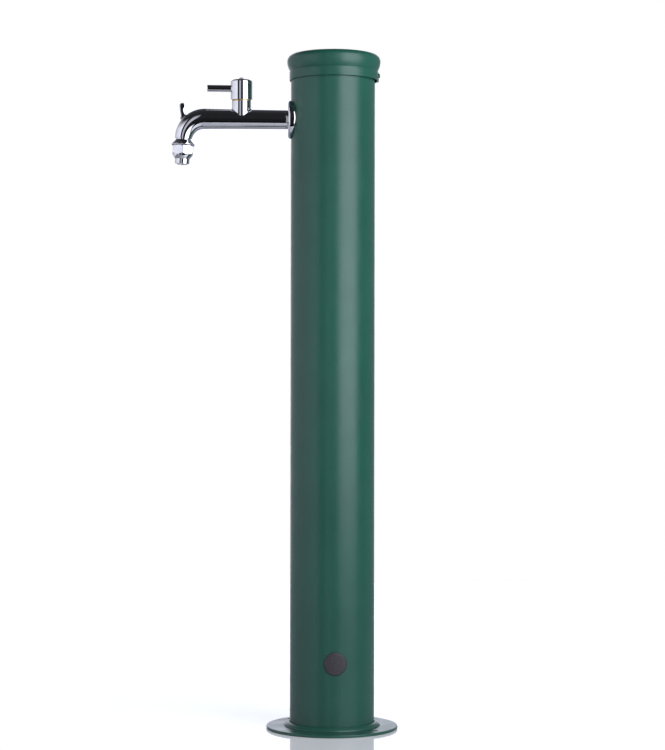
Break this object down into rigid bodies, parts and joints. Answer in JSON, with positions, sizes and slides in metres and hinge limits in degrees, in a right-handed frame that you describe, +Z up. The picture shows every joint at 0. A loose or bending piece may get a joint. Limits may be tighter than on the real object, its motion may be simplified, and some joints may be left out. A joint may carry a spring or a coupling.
{
  "type": "drinking fountain",
  "caption": "Free-standing outdoor water post: a painted steel column on a round base flange, with a lever-operated chrome tap near its cap and a riser pipe inside.",
  "frame": {"origin": "on the column's axis, on the floor under the base flange, at the centre of the anchor holes", "axes": "+Z up along the column; the tap points along -X; the service plug faces -Y; the cap's screw faces +X"},
  "size_m": [0.3277, 0.188, 0.9673],
  "materials": {
    "green_paint": "satin fine-textured powder coat",
    "chrome_plate": "polished chrome plating",
    "plain_brass": "turned, unplated",
    "black_rubber": "moulded",
    "black_plastic": "fine spark-eroded texture",
    "grey_plastic": "moulded, slightly milky",
    "white_plastic": "moulded",
    "white_ceramic": "lapped ceramic",
    "zinc_steel": "zinc plated",
    "dark_steel": "black oxide",
    "stainless_pipe": "drawn tube"
  },
  "bodies": {
    "stand": {"base_flange": "green_paint", "foot_collar": "green_paint", "column_tube": "green_paint", "tap_body": "chrome_plate", "rosette": "chrome_plate", "tap_gasket": "black_rubber", "wall_washer": "zinc_steel", "backnut": "plain_brass", "cartridge_body": "plain_brass", "cartridge_seal": "black_rubber", "seat_seal": "black_rubber", "fixed_disc": "white_ceramic", "outlet_collar": "chrome_plate", "outlet_nozzle": "chrome_plate", "outlet_washer": "black_rubber", "flow_straightener": "white_plastic", "riser_elbow": "plain_brass", "riser_pipe": "stainless_pipe", "upper_union_nut": "plain_brass", "upper_olive": "plain_brass", "inlet_connector": "plain_brass", "lower_union_nut": "plain_brass", "lower_olive": "plain_brass", "riser_brackets": "green_paint", "bracket_bushes": "black_rubber"},
    "handle": {"turning_disc": "white_ceramic", "spindle": "plain_brass", "spindle_seal": "black_rubber", "spindle_clip": "zinc_steel", "handle_knob": "chrome_plate", "handle_lever": "chrome_plate", "handle_screw": "zinc_steel", "handle_button": "grey_plastic"},
    "cap": {"top_cap": "green_paint", "cap_screw": "dark_steel", "cap_clip_nut": "green_paint"},
    "plug": {"service_plug": "black_plastic"}
  },
  "joints": [
    {"name": "handle_turn", "type": "hinge", "parent": "stand", "child": "handle", "pos_m": [-0.1316, 0, 0.9158], "axis": [0, 0, 1], "range_deg": [0, 90]},
    {"name": "cap_lift", "type": "slide", "parent": "stand", "child": "cap", "axis": [0, 0, 1], "range_m": [0, 0.045]},
    {"name": "plug_pull", "type": "slide", "parent": "stand", "child": "plug", "axis": [0, -1, 0], "range_m": [0, 0.015]}
  ]
}
